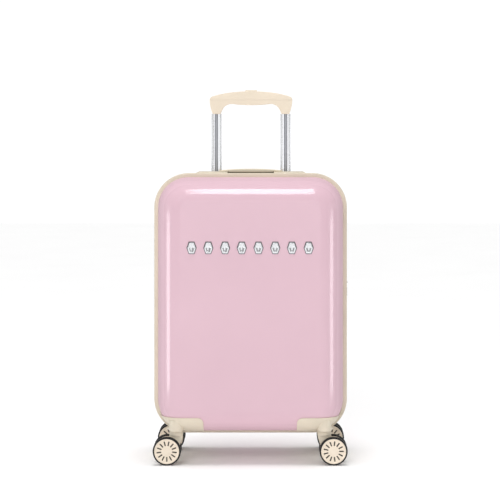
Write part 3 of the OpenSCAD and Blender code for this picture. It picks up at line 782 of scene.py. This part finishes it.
def foot_pair(w, d, r, z0, z1):
    return [prism("foot", moved(rounded(w, d, r, 6), sx * FOOT_X, CARRY_Y), z0, z1, "z") for sx in (-1, 1)]


def build_bezel():
    """Plate across the top edge: grip tray, tube holes, finger recess, and the tub under it."""
    t, half = BEZEL_HIGH.z, BEZEL_HIGH.x
    y0, y1 = BEZEL_LOW.y, BEZEL_HIGH.y
    slope = mm([(40, 0), (71, 0), (80, -2.3), (88, -8.5), (94, -17)], 0, t)
    profile = smooth_curve([(y0 + 2.5 * MM, t)] + slope + [(y1, t - 26 * MM)], 5)
    profile += mm([(0, -26), (0, -2.5), (0.7, -0.8)], y0, t)
    plate = prism("top_plate", profile, -half, half, "x")
    under = [(PART_Y + v, SHELL_TOP - u) for u, v in shell_line(BACK_FORM, start=0)]
    under += [(BACK_HIGH.y, 0.4), (PART_Y, 0.4)]
    boolean(plate, [prism("cut", under, -0.12, 0.12, "x")])
    for sx in (-1, 1):
        wedge = [(sx * (half + u), t + v) for u, v in mm([(1, 1), (-9, 1), (1, -5)])]
        boolean(plate, [prism("cut", wedge, -0.02, 0.12, "y")])
    tub = block("tub", -96.8 * MM, 96.8 * MM, 37 * MM, 85.8 * MM, SHELL_TOP - TUB_DEPTH, SHELL_TOP + MM)
    front_tub = block("tub", -96.8 * MM, 96.8 * MM, 16.2 * MM, 38 * MM, SHELL_TOP - 13 * MM, SHELL_TOP + MM)
    boolean(plate, [tub, front_tub], "UNION")
    above = t + 9 * MM
    cuts = []
    for x, y_low, y_high, z_low, z_high, r in (
            (78 * MM, TUBE_Y - 12 * MM, TUBE_Y + 12 * MM, SHELL_TOP - 5.5 * MM, above, 4 * MM),
            (RECESS_X, CARRY_Y - 11 * MM, CARRY_Y + 11 * MM, t - 11 * MM, above, 5 * MM),
            (RECESS_X, 0, CARRY_Y, SHELL_TOP + 4.5 * MM, above, 0),
            (48 * MM, 40 * MM, TUBE_Y + 7 * MM, SHELL_TOP - 30 * MM, SHELL_TOP - 8.5 * MM, 0)):
        cuts.append(block("cut", -x, x, y_low, y_high, z_low, z_high, r))
    for sx in (-1, 1):
        for w, d, r, z0, z1 in ((25.5, 19, 4, SHELL_TOP - 30 * MM, SHELL_TOP - 8 * MM),
                                (23.1, 16.6, 4.3, SHELL_TOP - TUB_DEPTH, t)):
            hole = moved(rounded(w * MM, d * MM, r * MM, 6), sx * TUBE_X, TUBE_Y)
            cuts.append(prism("cut", hole, z0, z1, "z"))
    cuts += foot_pair(12.6 * MM, 9.6 * MM, 2 * MM, 0.47, 0.53)
    boolean(plate, cuts)
    bevel(plate, 0.7 * MM, 3, 35, 40)
    reach = 0.3 * MM
    two_tone(plate, "trim_cream", "recess_shade",
             lambda c, _: (abs(c.x) < RECESS_X + reach and abs(c.y - CARRY_Y) < 11 * MM + reach
                           and t - 11.5 * MM < c.z < t - 1.2 * MM))
    finish_piece(plate, "root", "trim_cream", "top_bezel")


def build_carry_handle():
    """A low arch with rounded edges, on two feet that run in the bezel."""
    t, half = CARRY_HIGH.z, CARRY_HIGH.x
    steps = 64
    tip_share = 0.07
    rings = []
    for i in range(steps + 1):
        share = -1 + 2 * i / steps
        x = half * share
        top = t - 3.3 * MM * abs(share) ** 2.6
        low = t - 6.6 * MM + 1.6 * MM * min(1.0, max(0.0, (abs(x) - 39.5 * MM) / (2.5 * MM)))
        tip = max(0.0, (abs(share) - 1 + tip_share) / tip_share)
        width = 11 * MM * math.sqrt(max(0.05, 1 - 0.8 * tip * tip))
        height = max(top - low, 0.7 * MM)
        rings.append([Vector((x, CARRY_Y + u, (top + low) / 2 + v))
                      for u, v in rounded(width, height, min(1.7 * MM, height * 0.49), 6)])
    grip = loft("carry_grip", rings, smooth_angle=50)
    foot_low = CARRY_LOW.z + 2 * MM
    boolean(grip, foot_pair(12 * MM, 9 * MM, 1.7 * MM, foot_low, t - 2.6 * MM)
            + foot_pair(16 * MM, 12 * MM, 2 * MM, CARRY_LOW.z, foot_low), "UNION", 40)
    finish_piece(grip, "carry_handle", "trim_cream", "carry_handle", look="carry_cream")


# ---------------------------------------------------------------- badges, lock side, small metal

BADGES = 8


def build_badges():
    """Plain bevelled lozenges, each on a slightly larger dark backing whose rim is a painted shadow line
    round the lozenge.
    """
    low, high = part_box("badge_row")
    pitch = (high.x - low.x - 18 * MM) / (BADGES - 1)
    face = LID_LOW.y

    def lozenge(name, cx, w, h, front, back):
        corners = mm([(-w, 0), (-w * 0.56, h), (w * 0.56, h), (w, 0), (w * 0.56, -h), (-w * 0.56, -h)])
        return prism(name, moved(corners, cx, (low.z + high.z) / 2), face - front * MM, face + back * MM)

    plates, shadow_backs = [], []
    for i in range(BADGES):
        cx = low.x + 9 * MM + i * pitch
        plate = lozenge("plate", cx, 7.6, 9.8, 1.2, -0.3)
        boolean(plate, [lozenge("cut", cx, 4.3, 6.2, 1.3, -0.75)])
        plates.append(bevel(plate, 0.35 * MM, 2))
        shadow_backs.append(bevel(lozenge("back", cx, 9, 11, 0.5, 0.1), 0.2 * MM, 2))
    finish_piece(join("badge_plates", plates), "lid", "badge_chrome", "badge_row")
    # The dark backings are painted shadow, a dark outline round each lozenge.
    finish_piece(join("badge_shadow_line_backs", shadow_backs), "lid", "badge_chrome", look="badge_dark")


def build_zip_sliders():
    """A rounded slider with its bridge, and a tapered tab that hangs from it."""
    for name in ("upper", "lower"):
        low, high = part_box(name + "_zip_slider")
        z, half = (low.z + high.z) / 2, (high.z - low.z) / 2
        outline = smooth_curve([(u * MM, v * half) for u, v in (
            (-3.0, 1), (3.0, 1), (4.3, 0.5), (3.6, -0.4), (2.4, -1), (-2.4, -1), (-3.6, -0.4), (-4.3, 0.5))],
            4, True)
        slider = prism("slider", moved(outline, PART_Y, z), low.x, low.x + 1.6 * MM, "x")
        bevel(slider, 0.4 * MM, 3, 50)
        lower = mm([(1, -2.6), (3, -2.2)], low.x, z) + mm([(-0.1, -0.9)], high.x, z)
        cheek = lower + [(x, 2 * z - v) for x, v in reversed(lower)]
        for y in (PART_Y - 2 * MM, PART_Y + 2 * MM):
            boolean(slider, [prism("cheek", cheek, y - 0.55 * MM, y + 0.55 * MM)], "UNION")
        finish_piece(slider, name + "_zip_slider", "zip_metal", name + "_zip_slider")
        low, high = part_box(name + "_zip_puller")
        top, x = high.z - 0.9 * MM, (low.x + high.x) / 2
        pin = prism("pin", circle(x, top, 0.9 * MM, 24), PART_Y - 2.6 * MM, PART_Y + 2.6 * MM)
        length = top - low.z
        tab = [(PART_Y + u * MM, top - v * length) for u, v in smooth_curve(
            [(-1.1, -0.02), (1.1, -0.02), (1.2, 0.22), (1.5, 0.32), (2.9, 0.44), (3.0, 0.85), (2.0, 0.99),
             (-2.0, 0.99), (-3.0, 0.85), (-2.9, 0.44), (-1.5, 0.32), (-1.2, 0.22)], 4, True)]
        puller = prism("puller", tab, x - 0.85 * MM, x + 0.85 * MM, "x")
        eye = circle(PART_Y, top - 0.72 * length, 1.35 * MM, 32, 3.2 * MM)
        boolean(puller, [prism("cut", eye, x - 0.01, x + 0.01, "x")])
        bevel(puller, 0.35 * MM, 2, 50)
        boolean(puller, [pin], "UNION")
        finish_piece(puller, name + "_zip_puller", "zip_metal", name + "_zip_puller")


def soften_small_parts():
    """Small turned and moulded parts keep their own shape, with broken edges."""
    for names, width in ((("lock_housing", "trolley_base"), 0.5),
                         (("lock_slide", "lock_key_plug"), 0.25),
                         (("lock_dial_1", "lock_dial_2", "lock_dial_3"), 0.15),
                         ([c + "_axle" for c in CORNERS], 0.3), (("front_screws", "rear_screws"), 0.2)):
        for name in names:
            mod = frame["nodes"][name].modifiers.new("edges", "BEVEL")
            mod.width, mod.segments, mod.limit_method = width * MM, 2, "ANGLE"
            mod.angle_limit = radians(40)


# ---------------------------------------------------------------- linings, divider and straps


def rumple(obj, amount, centre, seed):
    """Pushes a lining a little inward in soft, irregular folds."""
    for v in obj.data.vertices:
        x, y, z = v.co
        fold = (sin(46 * x + 3 * sin(17 * z + seed)) * sin(38 * z + 2.2 * sin(23 * x + seed))
                + 0.5 * sin(90 * x + 70 * z + seed))
        v.co += (Vector(centre) - v.co).normalized() * amount * max(0.0, fold)


def lining(name, node, side, body, size, form, rim, cuts, seed):
    """A cloth pan inside a shell, with a bound edge."""
    w, h, _, mid_z = size
    depth, draft, _ = form
    cloth = pan(name, side, form, (-0.7 * MM, 0), size, rim, FINE)
    boolean(cloth, cuts)
    cloth.modifiers.new("grid", "TRIANGULATE").quad_method = "BEAUTY"
    apply_modifiers(cloth)
    bm = bmesh.new()
    bm.from_mesh(cloth.data)
    for _ in range(3):
        long_edges = [e for e in bm.edges if e.calc_length() > 22 * MM]
        bmesh.ops.subdivide_edges(bm, edges=long_edges, cuts=1)
        bmesh.ops.triangulate(bm, faces=bm.faces)
    bm.to_mesh(cloth.data)
    bm.free()
    rumple(cloth, 0.5 * MM, (0, PART_Y, mid_z), seed)
    tidy_mesh(cloth, 60)
    binding = loft(name + "_binding", list(bound_edge(size, side, rim, draft)), loop=True)
    finish_piece(binding, body, "strap_web")
    finish_piece(cloth, body, "lining_cloth", node)


def bound_edge(size, side, rim, draft):
    """The binding's narrow section, at each point of the lining's rim."""
    section = mm([(-0.4, -0.8), (-0.4, 0.8), (0.4, 1.0), (5.5, 0.8), (6, 0.4), (6, -0.4), (5.5, -0.9),
                  (0.4, -1.0)])
    loop = shell_ring(rim * tan(draft) + 0.35 * MM, rim, side, size, FINE)
    for i, p in enumerate(loop):
        along = (loop[(i + 1) % len(loop)] - loop[i - 1]).normalized()
        out = Vector((along.z, 0, -along.x))
        if out.dot(p - Vector((0, 0, size[3]))) < 0:
            out = -out
        yield [p + Vector((0, side * u, 0)) + out * v for u, v in section]


def build_linings():
    r = 51 * MM
    low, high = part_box("back_lining")
    size = (high.x - low.x, high.z - low.z, r, (low.z + high.z) / 2)
    lining("rear_lining", "back_lining", 1, "root", size, (high.y - PART_Y, BACK_DRAFT, 14 * MM), 1.6 * MM,
           caster_cuts(1, 18 * MM) + [lock_cut(MM)], 1)
    low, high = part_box("front_lining")
    grow = 8 * MM * tan(LID_DRAFT)
    size = (high.x - low.x + 2 * grow, high.z - low.z + 2 * grow, r, (low.z + high.z) / 2)
    lining("lid_lining", "front_lining", -1, "lid", size, (PART_Y - low.y, LID_DRAFT, 36 * MM), 9 * MM,
           caster_cuts(-1, 18 * MM), 4)


def build_divider():
    """Stretched mesh panel with a webbing border, closed by a zip all round."""
    low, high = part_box("divider_panel")
    w, h = high.x - low.x, high.z - low.z
    mid_y, r = (low.y + high.y) / 2, 51 * MM

    def loop(inset, y):
        corner = r - min(inset, r * 0.8)
        return [Vector((x, y, MID_Z + z)) for x, z in rounded(w - 2 * inset, h - 2 * inset, corner, 16)]

    insets = (0, 20, 40, 60, 80, 100, 120, 140, 155)
    front, back = [[loop(i * MM, mid_y + thick * MM) for i in insets] for thick in (-0.25, 0.25)]
    panel = loft("divider_mesh", front[::-1] + back, smooth_angle=60)
    rings = []
    for a, b in zip(loop(0.2 * MM, 0), loop(14 * MM, 0)):
        rings.append([Vector((p.x, y, p.z)) for p, y in ((a, low.y), (a, high.y), (b, high.y), (b, low.y))])
    border = loft("divider_border", rings, loop=True)
    finish_piece(border, "lid", "strap_web")
    corners = []
    track = loop(17 * MM, 0)
    for a, b in zip(track, track[1:] + track[:1]):
        count = max(1, int((b - a).length / (2.2 * MM)))
        along = (b - a).normalized()
        out = Vector((along.z, 0, -along.x))
        for k in range(count):
            p = a.lerp(b, (k + 0.5) / count)
            for y in (low.y + 0.05 * MM, high.y - 0.05 * MM):
                for u, v in mm([(-0.6, -1.8), (0.6, -1.8), (0.6, 1.8), (-0.6, 1.8)]):
                    corners.append(Vector((p.x, y, p.z)) + along * u + out * v)
    teeth = boxes("divider_zip", corners)
    finish_piece(teeth, "lid", "zip_metal")
    finish_piece(panel, "lid", "mesh_cloth", "divider_panel")


def build_straps():
    """Two elastic webbing straps that cross under one buckle plate."""
    low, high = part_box("cross_straps")
    cz, mid_y = (low.z + high.z) / 2, (low.y + high.y) / 2
    reach_x, reach_z = 132 * MM, 178 * MM
    angle, length = math.atan2(reach_z, reach_x), math.hypot(reach_x, reach_z)
    half, steps, columns = 12.5 * MM, 40, 6
    across_at = [2 * half * j / columns - half for j in range(columns + 1)]
    section = [(u, -0.35 * MM) for u in across_at] + [(u, 0.35 * MM) for u in reversed(across_at)]
    for k, name in ((1, "strap_rising"), (-1, "strap_falling")):
        along = Vector((cos(angle), 0, k * sin(angle)))
        across = Vector((-along.z, 0, along.x))
        rings = []
        for i in range(steps + 1):
            p = Vector((0, mid_y + k * 0.45 * MM, cz)) + along * length * (2 * i / steps - 1)
            rings.append([p + across * u + Vector((0, v, 0)) for u, v in section])
        strap = loft(name, rings, smooth_angle=60)
        finish_piece(strap, "root", "strap_web", *(["cross_straps"] if k == 1 else []))
    plate = prism("plate", moved(rounded(58 * MM, 48 * MM, 8 * MM), 0, cz), low.y, high.y)
    boolean(plate, [block("cut", -20 * MM, 20 * MM, low.y - MM, low.y + 1.2 * MM, z - 2 * MM, z + 2 * MM)
                    for z in (cz - 13 * MM, cz + 13 * MM)])
    bevel(plate, 1.0 * MM, 3, 40)
    plate.name = "strap_buckle"
    finish_piece(plate, "root", "strap_web", look="buckle_cream")


# ---------------------------------------------------------------- camera, floor and light

EYE = (0.030, PART_Y - 3.122, 0.5737)


def build_camera():
    """A long lens, level with a point just above the case, lifted by shift only."""
    cam = bpy.data.cameras.new("camera")
    cam.lens, cam.sensor_width = 123.4, 36
    cam.shift_x, cam.shift_y = -0.0342, -0.2160
    cam.clip_end = 50
    obj = add_object("camera", cam)
    obj.location = EYE
    obj.rotation_euler = (radians(90), 0, 0)
    bpy.context.scene.camera = obj


ROOM = 0.44  # the room's grey as light; the camera sees it as WHITE
WHITE = 1.05

# Soft boxes: name, place, target, size, radiance, and whether it shines in gloss and lights matt surfaces.
SOFT_BOXES = (
    ("strip_top", (0.01, PART_Y - 1.15, SHELL_TOP + 1.89), (0, 0, SHELL_TOP), (0.52, 1.15), 10.0,
     True, False),
    ("strip_left", (-0.804, -0.336, 0.225), (-0.15, -0.085, 0.225), (0.26, 0.42), 6.0, True, False),
    ("strip_right", (0.784, -0.382, 0.225), (0.15, -0.085, 0.225), (0.243, 0.42), 5.5, True, False),
    ("fill_front", (-0.9, PART_Y - 3.4, 2.4), (0, 0, MID_Z), (1.8, 1.2), 6.0, False, True),
    ("tubes_left", (-1.2, 0.25, 0.585), (0, 0.25, 0.585), (2.4, 0.15), 0.85, True, False),
    ("tubes_right", (1.2, 0.25, 0.585), (0, 0.25, 0.585), (2.4, 0.15), 0.85, True, False),
    ("card", (0.03, PART_Y - 3.6, 0.75), (0.03, 0, 0.75), (1.2, 1.2), 1.0, True, True),
)


def area_light(name, place, target, size, radiance, shine, fill):
    light = bpy.data.lights.new(name, "AREA")
    light.shape, light.size, light.size_y = "RECTANGLE", *size
    light.energy = radiance * pi * size[0] * size[1]
    obj = add_object(name, light)
    obj.location = place
    obj.rotation_euler = (Vector(target) - Vector(place)).to_track_quat("-Z", "Y").to_euler()
    obj.visible_camera = False
    obj.visible_glossy, obj.visible_diffuse = shine, fill


def build_studio():
    """Pale floor, an even room that looks white, and soft boxes."""
    floor = new_object("floor", [(-8, -6, 0), (8, -6, 0), (8, 9, 0), (-8, 9, 0)], [(0, 1, 2, 3)])
    n = Nodes("floor_paper")
    tint = n.mix(n.ramp(n.noise(3, 3), 0, 1), (0.96, 0.96, 0.96), (0.98, 0.98, 0.98))
    floor.data.materials.append(n.finish(tint, 0.85, Specular_IOR_Level=0.1, Emission_Color=(1, 1, 1),
                                         Emission_Strength=0.03))
    world = bpy.data.worlds.new("studio")
    bpy.context.scene.world = world
    world.use_nodes = True
    tree = world.node_tree
    seen = tree.nodes.new("ShaderNodeLightPath").outputs["Is Camera Ray"]
    mix = tree.nodes.new("ShaderNodeMix")
    mix.data_type = "RGBA"
    tree.links.new(seen, mix.inputs[0])
    for index, grey in ((6, ROOM), (7, WHITE)):
        mix.inputs[index].default_value = (grey, grey, grey, 1)
    tree.links.new(mix.outputs[2], tree.nodes["Background"].inputs["Color"])
    bpy.context.scene.view_settings.view_transform = "Standard"
    for soft_box in SOFT_BOXES:
        area_light(*soft_box)
    sun = bpy.data.lights.new("overhead", "SUN")
    sun.energy, sun.angle = 1.76, radians(30)
    overhead = add_object("overhead", sun)
    overhead.visible_glossy = False
    overhead.rotation_euler = (radians(2), 0, 0)


# ---------------------------------------------------------------- build

build_camera()
build_studio()
build_shells()
build_trims()
build_zip()
build_hinge_band()
build_guards()
build_casters()
build_handle()
build_bezel()
build_carry_handle()
build_badges()
build_zip_sliders()
build_linings()
build_divider()
build_straps()
soften_small_parts()

for entry in frame["record"]["subparts"]:
    node = frame["nodes"][entry["node"]]
    node.data.materials.clear()
    node.data.materials.append(MATS[entry["material_slot"]])
